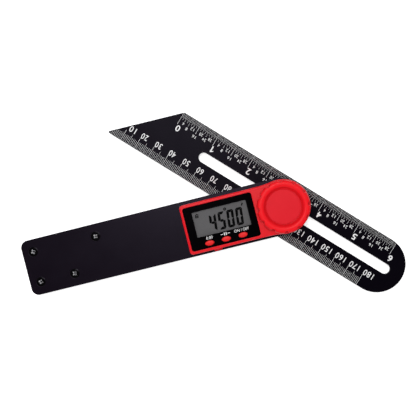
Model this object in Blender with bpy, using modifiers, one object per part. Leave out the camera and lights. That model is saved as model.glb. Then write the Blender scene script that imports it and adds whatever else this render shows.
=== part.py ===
"""Digital angle finder: a handle of two plates with a display and a lock knob at one end,
and a slotted rule, mitred at its tip, that turns and slides between the plates.

The origin is on the pivot axis, on the flat back. +X runs along the handle, past the
pivot, +Y is the top of the display and +Z is up through the knob.
"""
import math

import bmesh
import bpy
from mathutils import Matrix, Vector

mm = 0.001
full_turn = 2 * math.pi
square = math.pi / 2

# Fits shared by all the pieces
seat_gap = 0.3 * mm
slip_gap = 0.2 * mm
cut_overrun = 1.0 * mm
weld_distance = 0.001 * mm
flat_angle = math.radians(1)
crease_angle = math.radians(35)

# Handle plates
handle_width = 34.7 * mm
handle_reach = 163.4 * mm
nose_setback = 1.2 * mm
plate_corner = 4.6 * mm
plate_thickness = 2.4 * mm
plate_edge_round = 0.3 * mm

# Blade, a slotted rule with one mitred end and one round end
blade_width = 35.0 * mm
blade_length = 201.5 * mm
blade_thickness = 2.0 * mm
blade_clearance = 0.4 * mm
blade_edge_round = 0.15 * mm
blade_turn = math.radians(-45.6)
mitre = math.radians(45)
tip_flat = 1.0 * mm
pivot_along_blade = 116.1 * mm
slot_width = 6.2 * mm
slot_start = 56.4 * mm
slot_end_margin = 8.5 * mm

# Spacer block between the plates, with its inner end cut to the blade's mitre
spacer_length = 43.9 * mm
spacer_inset = 0.3 * mm

# Four screws that hold the plates and the spacer together
screw_edge_margin = 7.75 * mm
screw_end_margin = 6.9 * mm
upper_screw_pitch = 40.3 * mm
lower_screw_pitch = 21.9 * mm
screw_radius = 1.25 * mm
screw_head_radius = 2.45 * mm
screw_head_land = 0.1 * mm
screw_sink = 0.15 * mm
screw_end_depth = 0.4 * mm
countersink_radius = 2.9 * mm
cross_length = 3.2 * mm
cross_width = 0.55 * mm
cross_depth = 0.7 * mm

# Pivot stud, guide block and washers on the pivot axis
stud_radius = 2.0 * mm
stud_head_radius = 5.1 * mm
stud_head_height = 0.7 * mm
stud_pocket_depth = 1.2 * mm
bore_gap = 0.3 * mm
tongue_length = 12.0 * mm
tongue_side_gap = 0.25 * mm
flange_radius = 8.8 * mm
flange_thickness = 0.6 * mm
neck_radius = 5.2 * mm
neck_tip_radius = 3.9 * mm
thrust_washer_thickness = 0.4 * mm
back_washer_inner = 6.2 * mm
back_washer_outer = 10.0 * mm
back_washer_thickness = 0.6 * mm
back_washer_recess = 0.8 * mm
sleeve_wall = 1.3 * mm
sleeve_proud = 0.3 * mm

# Return spring round the neck of the guide block
spring_wire = 0.5 * mm
spring_radius = 6.3 * mm
spring_pitch = 1.1 * mm

# Display housing with its round hub
frame_reach = 60.9 * mm
frame_width = 30.4 * mm
frame_corner = 2.0 * mm
hub_radius = 16.4 * mm
flare_radius = 60.0 * mm
wall = 1.5 * mm
least_corner = 0.3 * mm
frame_edge_round = 0.7 * mm
shelf_thickness = 0.8 * mm
rim_proud = 0.4 * mm
boss_radius = 1.7 * mm
boss_bury = 0.5 * mm
near_boss_reach = 15.6 * mm
board_boss_reach = 17.1 * mm
board_boss_offset = 5.5 * mm
small_screw_radius = 0.6 * mm
small_head_radius = 1.2 * mm
small_head_land = 0.1 * mm

# Window panel, its clear window and the display under it
rim_end = 1.6 * mm
rim_side = 2.05 * mm
window_hub_margin = 0.5 * mm
window_corner = 1.5 * mm
panel_thickness = 0.6 * mm
bezel_far = 5.0 * mm
bezel_near = 4.1 * mm
bezel_top = 3.65 * mm
bezel_bottom = 7.25 * mm
lcd_overlap = 0.8 * mm
lcd_thickness = 1.2 * mm
strip_width = 1.4 * mm
strip_end_margin = 1.0 * mm

# Circuit board and what stands on it
board_thickness = 0.8 * mm
board_wall_gap = 0.4 * mm
chip_radius = 3.2 * mm
chip_height = 0.8 * mm
rotor_radius = 12.5 * mm
rotor_thickness = 1.0 * mm
encoder_gap = 0.4 * mm

# Three buttons on metal domes
button_length = 6.2 * mm
button_width = 3.8 * mm
button_pitch = 10.3 * mm
button_edge_margin = 2.55 * mm
button_flange = 0.6 * mm
button_flange_thickness = 0.6 * mm
button_proud = 0.2 * mm
button_round = 0.35 * mm
button_travel = 0.5 * mm
dome_radius = 2.0 * mm
dome_height = 0.3 * mm
press_gap = 0.1 * mm

# Coin cell in its sliding tray
cell_radius = 10.0 * mm
cell_height = 3.2 * mm
cell_edge_round = 0.25 * mm
tray_setback = 16.8 * mm
tray_side = 1.1 * mm
tray_end = 1.1 * mm
tray_floor = 0.4 * mm
tray_corner = 1.5 * mm
tray_flush = 0.1 * mm
tab_width = 4.8 * mm
tab_reach = 1.7 * mm
tab_margin = 0.4 * mm
contact_thickness = 0.2 * mm
contact_width = 3.0 * mm
contact_length = 10.0 * mm
contact_drop = 2.4 * mm

# Lock knob
knob_radius = 15.9 * mm
knob_gap = 0.4 * mm
knob_height = 5.0 * mm
knob_foot_round = 0.3 * mm
knob_shoulder = 1.9 * mm
lip_inner = 13.3 * mm
recess_top = 12.2 * mm
recess_foot = 10.5 * mm
recess_depth = 1.8 * mm
recess_ease = 0.25 * mm
cap_thickness = 0.6 * mm
cap_side_gap = 0.15 * mm
notch_count = 12
notch_depth = 1.4 * mm
notch_round = 1.5 * mm
notch_turn = math.radians(-6.5)
insert_radius = 4.6 * mm
insert_height = 2.0 * mm
insert_sides = 6

# Steps round arcs and turned shapes
fine_steps = 48
round_steps = 24
small_steps = 12
corner_steps = 4
bevel_steps = 1
rim_steps = 2

# Heights, from the back of the handle upwards
back_top = plate_thickness
blade_bottom = back_top + blade_clearance
blade_top = blade_bottom + blade_thickness
front_bottom = blade_top + blade_clearance
front_top = front_bottom + plate_thickness
housing_bottom = front_top + seat_gap
cell_bottom = housing_bottom + tray_floor + slip_gap
cell_top = cell_bottom + cell_height
contact_bottom = cell_top + slip_gap
board_bottom = contact_bottom + contact_thickness + slip_gap
board_top = board_bottom + board_thickness
dome_bottom = board_top + slip_gap
dome_top = dome_bottom + dome_height
button_bottom = dome_top + press_gap + button_travel
flange_top = button_bottom + button_flange_thickness
shelf_bottom = flange_top + slip_gap
shelf_top = shelf_bottom + shelf_thickness
panel_bottom = shelf_top + slip_gap
panel_top = panel_bottom + panel_thickness
housing_top = panel_top + rim_proud
lcd_top = shelf_top - slip_gap
lcd_bottom = lcd_top - lcd_thickness
rotor_top = board_bottom - encoder_gap
rotor_bottom = rotor_top - rotor_thickness
block_flange_bottom = blade_top + seat_gap
block_flange_top = block_flange_bottom + flange_thickness
thrust_washer_bottom = block_flange_top + slip_gap
thrust_washer_top = thrust_washer_bottom + thrust_washer_thickness
flange_recess_top = thrust_washer_top + slip_gap
neck_shoulder = rotor_bottom - slip_gap
neck_top = board_bottom + seat_gap
sleeve_bottom = neck_top + seat_gap
sleeve_top = housing_top + sleeve_proud
insert_bottom = sleeve_top + seat_gap
insert_top = insert_bottom + insert_height
knob_bottom = housing_top + knob_gap
knob_top = knob_bottom + knob_height
recess_floor = knob_top - recess_depth
cap_bottom = recess_floor - cap_thickness
cap_seat = cap_bottom - seat_gap
stud_head_bottom = back_top - stud_pocket_depth + slip_gap

# Places across the handle
half_width = handle_width / 2
spacer_middle = handle_reach - spacer_length
slot_end = blade_length - slot_end_margin
frame_half = frame_width / 2
window_far = frame_reach - rim_end
window_near = hub_radius + window_hub_margin
window_half = frame_half - rim_side
lcd_far = window_far - bezel_far
lcd_near = window_near + bezel_near
lcd_high = window_half - bezel_top
lcd_low = bezel_bottom - window_half
button_drop = window_half - button_edge_margin
button_middle = (lcd_far + lcd_near) / 2
stud_bore = stud_radius + bore_gap
sleeve_outer = stud_bore + sleeve_wall
tray_reach = frame_reach - tray_setback
tray_pocket = cell_radius + slip_gap
tray_front = tray_flush - frame_half
cell_offset = tray_front + tray_end + tray_pocket
tray_back = cell_offset + tray_pocket + tray_end
tray_half = tray_pocket + tray_side
screw_row = half_width - screw_edge_margin
screw_column = screw_end_margin - handle_reach
screw_places = (
    (screw_column, screw_row),
    (screw_column + upper_screw_pitch, screw_row),
    (screw_column, -screw_row),
    (screw_column + lower_screw_pitch, -screw_row),
)
boss_wall_offset = wall + boss_radius - boss_bury
far_boss = boss_wall_offset - frame_reach
boss_row = frame_half - boss_wall_offset
boss_places = (
    (far_boss, boss_row),
    (far_boss, -boss_row),
    (-near_boss_reach, boss_row),
    (-near_boss_reach, -boss_row),
)
board_boss_places = (
    (-board_boss_reach, board_boss_offset),
    (-board_boss_reach, -board_boss_offset),
)

for leftover in list(bpy.data.objects):
    bpy.data.objects.remove(leftover, do_unlink=True)

parts = bpy.data.collections.new("angle_finder")
cutters = bpy.data.collections.new("angle_finder_cutters")
for group in (parts, cutters):
    bpy.context.scene.collection.children.link(group)


# Materials
def finish(name, colour, roughness, metallic=0.0):
    """A plain surface of one colour, roughness and metallic value."""
    material = bpy.data.materials.new(name)
    material.use_nodes = True
    surface = material.node_tree.nodes["Principled BSDF"]
    surface.inputs["Base Color"].default_value = (*colour, 1.0)
    surface.inputs["Roughness"].default_value = roughness
    surface.inputs["Metallic"].default_value = metallic
    material.diffuse_color = (*colour, 1.0)
    return material


black_anodised = finish("black_anodised", (0.016, 0.015, 0.022), 0.45, 0.6)
red_plastic = finish("red_plastic", (0.72, 0.02, 0.035), 0.38)
black_gloss = finish("black_gloss", (0.004, 0.004, 0.005), 0.12)
clear_plastic = finish("clear_plastic", (0.75, 0.78, 0.76), 0.05)
display_glass = finish("display_glass", (0.12, 0.13, 0.12), 0.15)
black_rubber = finish("black_rubber", (0.02, 0.02, 0.02), 0.8)
green_board = finish("green_board", (0.01, 0.12, 0.05), 0.5)
chip_resin = finish("chip_resin", (0.012, 0.012, 0.012), 0.35)
blackened_steel = finish("blackened_steel", (0.03, 0.03, 0.035), 0.4, 0.8)
bright_steel = finish("bright_steel", (0.6, 0.6, 0.62), 0.25, 1.0)
yellow_brass = finish("yellow_brass", (0.65, 0.45, 0.16), 0.3, 1.0)
white_nylon = finish("white_nylon", (0.75, 0.74, 0.7), 0.5)


# Outlines
def arc(x, y, radius, start, end, steps=corner_steps):
    """Points on an arc, both ends included."""
    angles = [start + (end - start) * step / steps for step in range(steps + 1)]
    return [(x + radius * math.cos(a), y + radius * math.sin(a)) for a in angles]


def circle(x, y, radius, steps=round_steps):
    """Points round a full circle."""
    return arc(x, y, radius, 0, full_turn, steps)[:-1]


def rounded_box(left, right, low, high, corner):
    """A rectangle with four round corners, counter-clockwise."""
    return (
        arc(right - corner, high - corner, corner, 0, square)
        + arc(left + corner, high - corner, corner, square, 2 * square)
        + arc(left + corner, low + corner, corner, 2 * square, 3 * square)
        + arc(right - corner, low + corner, corner, 3 * square, 4 * square)
    )


def oblong(left, right, half, steps=small_steps):
    """A strip along X with round ends."""
    return (
        arc(right - half, 0, half, -square, square, steps)
        + arc(left + half, 0, half, square, 3 * square, steps)
    )


def oval(length, width, steps=round_steps):
    """An ellipse about the origin."""
    return [(x * length / 2, y * width / 2) for x, y in circle(0, 0, 1, steps)]


def plate_outline(inset=0):
    """The handle plate: a round nose past the pivot and a far end with two round corners."""
    half = half_width - inset
    corner = plate_corner - inset
    end = inset - handle_reach + corner
    return (
        arc(-nose_setback, 0, half, -square, square, round_steps)
        + arc(end, half - corner, corner, square, 2 * square)
        + arc(end, corner - half, corner, 2 * square, 3 * square)
    )


def spacer_outline():
    """The handle's far end, cut off along the blade's mitre."""
    half = half_width - spacer_inset
    corner = plate_corner - spacer_inset
    end = spacer_inset - handle_reach + corner
    slant = half / math.tan(mitre)
    return (
        [(-spacer_middle - slant, -half), (-spacer_middle + slant, half)]
        + arc(end, half - corner, corner, square, 2 * square)
        + arc(end, corner - half, corner, 2 * square, 3 * square)
    )


def blade_outline():
    """The rule about its pivot point: its tip at -X, its round end at +X."""
    half = blade_width / 2
    tip = -pivot_along_blade
    blunt = tip_flat / 2 / math.sin(mitre / 2)
    return (
        [
            (tip + blade_width / math.tan(mitre), half),
            (tip + blunt * math.cos(mitre), blunt * math.sin(mitre) - half),
            (tip + blunt, -half),
        ]
        + arc(tip + blade_length - half, 0, half, -square, square, round_steps)
    )


def housing_outline(inset=0):
    """The display frame, flared into the round hub on the pivot axis."""
    half = frame_half - inset
    hub = hub_radius - inset
    flare = flare_radius + inset
    corner = max(frame_corner - inset, least_corner)
    end = inset - frame_reach + corner
    flare_start = math.sqrt((hub - half) * (hub + half + 2 * flare))
    meet = math.atan2(half + flare, -flare_start)
    return (
        arc(0, 0, hub, -meet, meet, fine_steps)
        + arc(-flare_start, half + flare, flare, meet - 2 * square, -square)[1:]
        + arc(end, half - corner, corner, square, 2 * square)
        + arc(end, corner - half, corner, 2 * square, 3 * square)
        + arc(-flare_start, -half - flare, flare, square, 2 * square - meet)[:-1]
    )


# Solids
def tidy_mesh(shape, name):
    """Weld a bmesh, turn its faces outwards and give it back as a mesh."""
    bmesh.ops.remove_doubles(shape, verts=shape.verts, dist=weld_distance)
    bmesh.ops.recalc_face_normals(shape, faces=shape.faces)
    mesh = bpy.data.meshes.new(name)
    shape.to_mesh(mesh)
    shape.free()
    return mesh


def curve_mesh(name, curve):
    """The mesh of a curve, with its caps welded on."""
    drawn = bpy.data.objects.new(name, curve)
    bpy.context.scene.collection.objects.link(drawn)
    graph = bpy.context.evaluated_depsgraph_get()
    rough = bpy.data.meshes.new_from_object(drawn.evaluated_get(graph))
    shape = bmesh.new()
    shape.from_mesh(rough)
    bmesh.ops.remove_doubles(shape, verts=shape.verts, dist=weld_distance)
    bpy.data.objects.remove(drawn)
    bpy.data.curves.remove(curve)
    bpy.data.meshes.remove(rough)
    return shape


def slab(name, loops, bottom, top, top_round=0):
    """Flat stock between two heights, from closed outlines in the XY plane."""
    curve = bpy.data.curves.new(name, "CURVE")
    curve.dimensions = "2D"
    curve.fill_mode = "BOTH"
    curve.extrude = (top - bottom) / 2
    for loop in loops:
        spline = curve.splines.new("POLY")
        spline.points.add(len(loop) - 1)
        spline.use_cyclic_u = True
        for point, (x, y) in zip(spline.points, loop):
            point.co = (x, y, 0, 1)
    shape = curve_mesh(name, curve)
    if len(loops) == 1:
        bmesh.ops.dissolve_limit(
            shape, angle_limit=flat_angle, verts=shape.verts, edges=shape.edges
        )
    if top_round:
        rim = [edge for edge in shape.edges if min(end.co.z for end in edge.verts) > 0]
        bmesh.ops.bevel(shape, geom=rim, offset=top_round, segments=rim_steps, profile=0.5,
                        affect="EDGES", material=-1)
    bmesh.ops.translate(shape, verts=shape.verts, vec=(0, 0, (top + bottom) / 2))
    return tidy_mesh(shape, name)


def turned(name, profile, places=((0, 0),), steps=round_steps):
    """Spin a profile of (radius, height), listed down its outer side, round each place."""
    shape = bmesh.new()
    for x, y in places:
        axis = Vector((x, y, 0))
        points = [shape.verts.new(axis + Vector((radius, 0, z))) for radius, z in profile]
        lines = [shape.edges.new(pair) for pair in zip(points, points[1:])]
        bmesh.ops.spin(
            shape, geom=points + lines, cent=axis, axis=(0, 0, 1),
            angle=full_turn, steps=steps, use_merge=True,
        )
    return tidy_mesh(shape, name)


def pins(name, places, radius, bottom, top, steps=small_steps):
    """Upright round bars, one at each place."""
    profile = [(0, top), (radius, top), (radius, bottom), (0, bottom)]
    return turned(name, profile, places, steps)


def washer(name, inner, outer, bottom, top, steps=round_steps, places=((0, 0),)):
    """A flat ring on the pivot axis, or a tube at each place."""
    profile = [(inner, top), (outer, top), (outer, bottom), (inner, bottom), (inner, top)]
    return turned(name, profile, places, steps)


def box(name, length, width, bottom, top, place=(0, 0)):
    """A block centred on its place."""
    shape = bmesh.new()
    size = Matrix.Diagonal((length, width, top - bottom, 1))
    middle = Matrix.Translation((*place, (top + bottom) / 2))
    bmesh.ops.create_cube(shape, size=1, matrix=middle @ size)
    return tidy_mesh(shape, name)


# Assembly
def piece(name, mesh, material, location=(0, 0, 0), rotation=0, carrier=None):
    """Put a mesh in the model as one named piece, smooth but for its sharp edges."""
    mesh.materials.append(material)
    mesh.shade_smooth()
    mesh.set_sharp_from_angle(angle=crease_angle)
    item = bpy.data.objects.new(name, mesh)
    parts.objects.link(item)
    item.location = location
    item.rotation_euler.z = rotation
    item.parent = carrier
    return item


def combine(target, mesh, operation):
    """Cut a shape from a piece, or fuse it on, in the piece's own frame."""
    tool = bpy.data.objects.new(mesh.name, mesh)
    cutters.objects.link(tool)
    tool.parent = target
    tool.hide_render = True
    tool.display_type = "WIRE"
    step = target.modifiers.new(mesh.name, "BOOLEAN")
    step.operation = operation
    step.object = tool


def cut(target, mesh):
    combine(target, mesh, "DIFFERENCE")


def fuse(target, mesh):
    combine(target, mesh, "UNION")


def soften(target, width, segments=bevel_steps):
    """Round the sharp edges that a piece has so far."""
    bevel = target.modifiers.new("edges", "BEVEL")
    bevel.limit_method = "ANGLE"
    bevel.angle_limit = crease_angle
    bevel.width = width
    bevel.segments = segments


def joint_axis(name, x=0, y=0, carrier=None):
    """An empty on a joint's axis, which carries the pieces that move there."""
    axis = bpy.data.objects.new(name, None)
    parts.objects.link(axis)
    axis.location = (x, y, 0)
    axis.parent = carrier
    return axis


def sunk_holes(name, places, hole, sink, face, outwards, depth):
    """Cutter for countersunk holes: a cone at the face, then a bore that runs depth deep."""
    over = face + outwards * cut_overrun
    cone_foot = face - outwards * (sink - hole)
    foot = face - outwards * depth
    profile = [(0, over), (sink + cut_overrun, over), (hole, cone_foot), (hole, foot), (0, foot)]
    return turned(name, profile, places, small_steps)


def flat_head_screws(name, places, shank, head, land, top, foot, material, outwards=1):
    """Screws with countersunk heads; outwards is 1 for heads at the top, -1 at the bottom."""
    land_foot = top - outwards * land
    cone_foot = land_foot - outwards * (head - shank)
    profile = [(0, top), (head, top), (head, land_foot), (shank, cone_foot), (shank, foot), (0, foot)]
    screws = []
    for number, (x, y) in enumerate(places, start=1):
        screw = turned(f"{name}_{number}", profile, steps=small_steps)
        screws.append(piece(f"{name}_{number}", screw, material, location=(x, y, 0)))
    return screws


def back_plate():
    """Back plate: blind pocket for the stud, ring recess for a washer, four screw holes."""
    plate = piece("back_plate", slab("back_plate", [plate_outline()], 0, back_top), black_anodised)
    soften(plate, plate_edge_round)
    pocket_floor = back_top - stud_pocket_depth
    recess_floor_height = back_top - back_washer_recess
    over = back_top + cut_overrun
    head_room = stud_head_radius + slip_gap
    cut(plate, pins("stud_pocket", [(0, 0)], head_room, pocket_floor, over, round_steps))
    cut(plate, washer("washer_recess", back_washer_inner - slip_gap,
                      back_washer_outer + slip_gap, recess_floor_height, over))
    cut(plate, pins("back_screw_holes", screw_places, screw_radius + slip_gap,
                    -cut_overrun, over))


def front_plate():
    """Front plate: stepped pivot hole, countersunk screw holes above and below."""
    plate = piece("front_plate", slab("front_plate", [plate_outline()], front_bottom, front_top),
                  black_anodised)
    soften(plate, plate_edge_round)
    below = front_bottom - cut_overrun
    above = front_top + cut_overrun
    neck_room = neck_radius + bore_gap
    flange_room = flange_radius + bore_gap
    through = plate_thickness + cut_overrun
    cut(plate, turned("pivot_hole", [
        (0, above), (neck_room, above), (neck_room, flange_recess_top),
        (flange_room, flange_recess_top), (flange_room, below), (0, below),
    ]))
    cut(plate, sunk_holes("front_screw_holes", screw_places, screw_radius + slip_gap,
                          countersink_radius, front_top, 1, through))
    small_sink = small_head_radius + small_head_land + 2 * slip_gap
    cut(plate, sunk_holes("frame_screw_holes", boss_places, small_screw_radius + slip_gap,
                          small_sink, front_bottom, -1, through))


def end_spacer():
    """Block that keeps the plates apart at the far end."""
    block = piece("end_spacer", slab("end_spacer", [spacer_outline()], back_top + slip_gap,
                                     front_bottom - slip_gap), black_anodised)
    cut(block, pins("spacer_holes", screw_places, screw_radius + slip_gap,
                    back_top, front_bottom))


def handle_screws():
    """Four cross-recessed screws, sunk in the front plate and threaded into the back plate."""
    top = front_top - screw_sink
    low = top - cross_depth
    high = top + cut_overrun
    for screw in flat_head_screws(
            "handle_screw", screw_places, screw_radius, screw_head_radius, screw_head_land,
            top, screw_end_depth, blackened_steel):
        cut(screw, box("cross_along", cross_length, cross_width, low, high))
        cut(screw, box("cross_over", cross_width, cross_length, low, high))


def blade(carrier):
    """Slotted rule."""
    half = slot_width / 2
    start = slot_start - pivot_along_blade
    end = slot_end - pivot_along_blade
    rule = piece("blade", slab("blade", [blade_outline()], blade_bottom, blade_top),
                 black_anodised, rotation=blade_turn, carrier=carrier)
    cut(rule, slab("blade_slot", [oblong(start, end, half)], blade_bottom - cut_overrun,
                   blade_top + cut_overrun))
    soften(rule, blade_edge_round, 1)


def pivot_pieces(handle_axis, turning_axis):
    """Stud, washers, guide block, spring and clamping sleeve, in the order of the stack."""
    stud_head_top = stud_head_bottom + stud_head_height
    stud_top = insert_top - slip_gap
    piece("pivot_stud", turned("pivot_stud", [
        (0, stud_top), (stud_radius, stud_top), (stud_radius, stud_head_top),
        (stud_head_radius, stud_head_top), (stud_head_radius, stud_head_bottom),
        (0, stud_head_bottom),
    ]), bright_steel, carrier=handle_axis)

    washer_bottom = back_top - back_washer_recess + slip_gap
    piece("back_washer", washer("back_washer", back_washer_inner, back_washer_outer,
                                washer_bottom, washer_bottom + back_washer_thickness),
          white_nylon, carrier=handle_axis)

    block = piece("guide_block", turned("guide_block", [
        (0, neck_top), (neck_tip_radius, neck_top), (neck_tip_radius, neck_shoulder),
        (neck_radius, neck_shoulder), (neck_radius, block_flange_top),
        (flange_radius, block_flange_top), (flange_radius, block_flange_bottom),
        (0, block_flange_bottom),
    ]), yellow_brass, rotation=blade_turn, carrier=turning_axis)
    tongue_half = slot_width / 2 - tongue_side_gap
    fuse(block, slab("tongue", [oblong(-tongue_length / 2, tongue_length / 2, tongue_half)],
                     blade_bottom, block_flange_bottom + flange_thickness / 2))
    cut(block, pins("block_bore", [(0, 0)], stud_bore, blade_bottom - cut_overrun,
                    neck_top + cut_overrun, round_steps))

    piece("thrust_washer", washer("thrust_washer", neck_radius + bore_gap, flange_radius,
                                  thrust_washer_bottom, thrust_washer_top),
          white_nylon, carrier=handle_axis)

    piece("return_spring", return_spring(), bright_steel, carrier=handle_axis)

    piece("encoder_rotor", washer("encoder_rotor", neck_tip_radius + slip_gap, rotor_radius,
                                  rotor_bottom, rotor_top, fine_steps),
          green_board, carrier=turning_axis)

    piece("clamp_sleeve", washer("clamp_sleeve", stud_bore, sleeve_outer, sleeve_bottom,
                                 sleeve_top), bright_steel, carrier=handle_axis)


def return_spring():
    """Open coil between the front plate and the rotor."""
    low = housing_bottom + spring_wire / 2
    high = neck_shoulder - spring_wire / 2
    turns = (high - low) / spring_pitch
    count = round(turns * small_steps)
    curve = bpy.data.curves.new("return_spring", "CURVE")
    curve.dimensions = "3D"
    curve.bevel_depth = spring_wire / 2
    curve.bevel_resolution = 1
    curve.use_fill_caps = True
    spline = curve.splines.new("POLY")
    spline.points.add(count)
    for step, point in enumerate(spline.points):
        along = step / count
        angle = full_turn * turns * along
        point.co = (spring_radius * math.cos(angle), spring_radius * math.sin(angle),
                    low + (high - low) * along, 1)
    return tidy_mesh(curve_mesh("return_spring", curve), "return_spring")


def display_housing():
    """Moulded housing, open underneath, with bosses inside and a sunk shelf for the panel."""
    housing = piece("display_housing", slab("display_housing", [housing_outline()],
                                            housing_bottom, housing_top, frame_edge_round),
                    red_plastic)
    below = housing_bottom - cut_overrun
    above = housing_top + cut_overrun
    cut(housing, slab("housing_cavity", [housing_outline(wall)], below, shelf_bottom))
    cut(housing, slab("panel_pocket", [window_outline()], shelf_top, above))
    overlap = lcd_overlap + slip_gap
    cut(housing, slab("display_opening", [rounded_box(
        -lcd_far - overlap, -lcd_near + overlap, lcd_low - overlap, lcd_high + overlap,
        least_corner)], shelf_bottom - cut_overrun, above))
    cut(housing, slab("button_openings", button_loops(slip_gap), shelf_bottom - cut_overrun,
                      above))
    bore = small_screw_radius + slip_gap
    boss_top = shelf_bottom + shelf_thickness / 2
    fuse(housing, washer("frame_bosses", bore, boss_radius, housing_bottom + slip_gap,
                         boss_top, small_steps, boss_places))
    fuse(housing, washer("board_bosses", bore, boss_radius, board_top + slip_gap,
                         boss_top, small_steps, board_boss_places))
    cut(housing, pins("sleeve_hole", [(0, 0)], sleeve_outer + slip_gap,
                      shelf_bottom - cut_overrun, above, round_steps))
    cut(housing, box("tray_mouth", 2 * (tray_half + slip_gap), 2 * (wall + cut_overrun),
                     below, contact_bottom, (-tray_reach, -frame_half)))
    flat_head_screws("housing_screw", boss_places, small_screw_radius, small_head_radius,
                     small_head_land, front_bottom + slip_gap, board_bottom, bright_steel, -1)


def window_outline(inset=0):
    """The sunk rectangle for the window panel."""
    return rounded_box(inset - window_far, -window_near - inset, inset - window_half,
                       window_half - inset, window_corner - inset)


def button_loops(grow=0):
    """Ovals at the three buttons."""
    return [
        [(x - button_middle + shift, y - button_drop) for x, y in
         oval(button_length + 2 * grow, button_width + 2 * grow)]
        for shift in (-button_pitch, 0, button_pitch)
    ]


def display():
    """Black panel with its clear window, the display glass and its contact strip."""
    lcd_loop = rounded_box(-lcd_far, -lcd_near, lcd_low, lcd_high, least_corner)
    piece("window_panel", slab("window_panel", [
        window_outline(slip_gap), lcd_loop, *button_loops(slip_gap)],
        panel_bottom, panel_top), black_gloss)
    piece("lcd_window", slab("lcd_window", [rounded_box(
        slip_gap - lcd_far, -lcd_near - slip_gap, lcd_low + slip_gap, lcd_high - slip_gap,
        least_corner)], panel_bottom, panel_top), clear_plastic)
    piece("lcd_glass", slab("lcd_glass", [rounded_box(
        -lcd_far - lcd_overlap, lcd_overlap - lcd_near, lcd_low - lcd_overlap,
        lcd_high + lcd_overlap, least_corner)], lcd_bottom, lcd_top), display_glass)
    strip_length = lcd_far - lcd_near - 2 * strip_end_margin
    piece("contact_strip", box("contact_strip", strip_length, strip_width,
                               board_top + slip_gap, lcd_bottom - slip_gap,
                               (-button_middle, lcd_low)), black_rubber)


def circuit_board():
    """Board with its controller, key domes and two screws."""
    board = piece("circuit_board", slab("circuit_board", [
        housing_outline(wall + board_wall_gap)], board_bottom, board_top), green_board)
    below = board_bottom - cut_overrun
    above = board_top + cut_overrun
    cut(board, pins("boss_notches", boss_places, boss_radius + board_wall_gap, below, above))
    cut(board, pins("board_screw_holes", board_boss_places, small_screw_radius + slip_gap,
                    below, above))
    cut(board, pins("board_pivot_hole", [(0, 0)], neck_tip_radius + bore_gap, below, above,
                    round_steps))
    head_height = small_head_land + small_head_radius - small_screw_radius
    flat_head_screws("board_screw", board_boss_places, small_screw_radius, small_head_radius,
                     small_head_land, board_bottom - slip_gap - head_height,
                     shelf_bottom - 2 * slip_gap, bright_steel, -1)
    chip = [(0, chip_height), (chip_radius / 2, chip_height * 0.85), (chip_radius, 0), (0, 0)]
    piece("control_chip", turned("control_chip", chip), chip_resin,
          location=(-button_middle, (lcd_high + lcd_low) / 2, dome_bottom))
    dome = [(0, dome_top), (dome_radius / 2, dome_top - dome_height / 4),
            (dome_radius, dome_bottom), (0, dome_bottom)]
    for number, shift in enumerate((-button_pitch, 0, button_pitch), start=1):
        piece(f"key_dome_{number}", turned(f"key_dome_{number}", dome, steps=small_steps),
              bright_steel, location=(shift - button_middle, -button_drop, 0))


def buttons():
    """Three oval buttons, each with a flange that keeps it in."""
    flange_length = button_length + 2 * button_flange
    flange_width = button_width + 2 * button_flange
    for name, shift in (("left_button", -button_pitch), ("middle_button", 0),
                        ("right_button", button_pitch)):
        axis = joint_axis(name + "_axis", shift - button_middle, -button_drop)
        button = piece(name, slab(name, [oval(button_length, button_width)],
                                  button_bottom, housing_top + button_proud),
                       red_plastic, carrier=axis)
        soften(button, button_round)
        fuse(button, slab(name + "_flange", [oval(flange_length, flange_width)],
                          button_bottom, flange_top))


def battery_tray():
    """Tray that slides out of the housing's lower side with its coin cell, and its contacts."""
    axis = joint_axis("battery_tray_axis", -tray_reach)
    tray = piece("battery_tray", slab("battery_tray", [rounded_box(
        -tray_half, tray_half, tray_front, tray_back, tray_corner)],
        housing_bottom, cell_top - slip_gap), red_plastic, carrier=axis)
    cut(tray, pins("cell_pocket", [(0, cell_offset)], tray_pocket,
                   cell_bottom - slip_gap, cell_top + cut_overrun, fine_steps))
    tab_bury = tray_end / 2
    tab_middle = tray_front + (tab_bury - tab_reach) / 2
    fuse(tray, box("finger_tab", tab_width, tab_reach + tab_bury, housing_bottom + tab_margin,
                   cell_top - slip_gap - tab_margin, (0, tab_middle)))
    cell = piece("coin_cell", pins("coin_cell", [(0, cell_offset)], cell_radius,
                                   cell_bottom, cell_top, fine_steps),
                 bright_steel, carrier=axis)
    soften(cell, cell_edge_round, 1)

    contact_top = contact_bottom + contact_thickness
    piece("battery_contact_minus", box(
        "battery_contact_minus", contact_width, contact_length, contact_bottom, contact_top,
        (-tray_reach, cell_offset)), bright_steel)
    leaf = tray_back + slip_gap
    plus = piece("battery_contact_plus", box(
        "battery_contact_plus", contact_length, contact_width, contact_bottom, contact_top,
        (-tray_reach, leaf + contact_width / 2)), bright_steel)
    fuse(plus, box("plus_leaf", contact_width, contact_thickness,
                   contact_bottom - contact_drop, contact_bottom + contact_thickness / 2,
                   (-tray_reach, leaf + contact_thickness / 2)))


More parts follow.
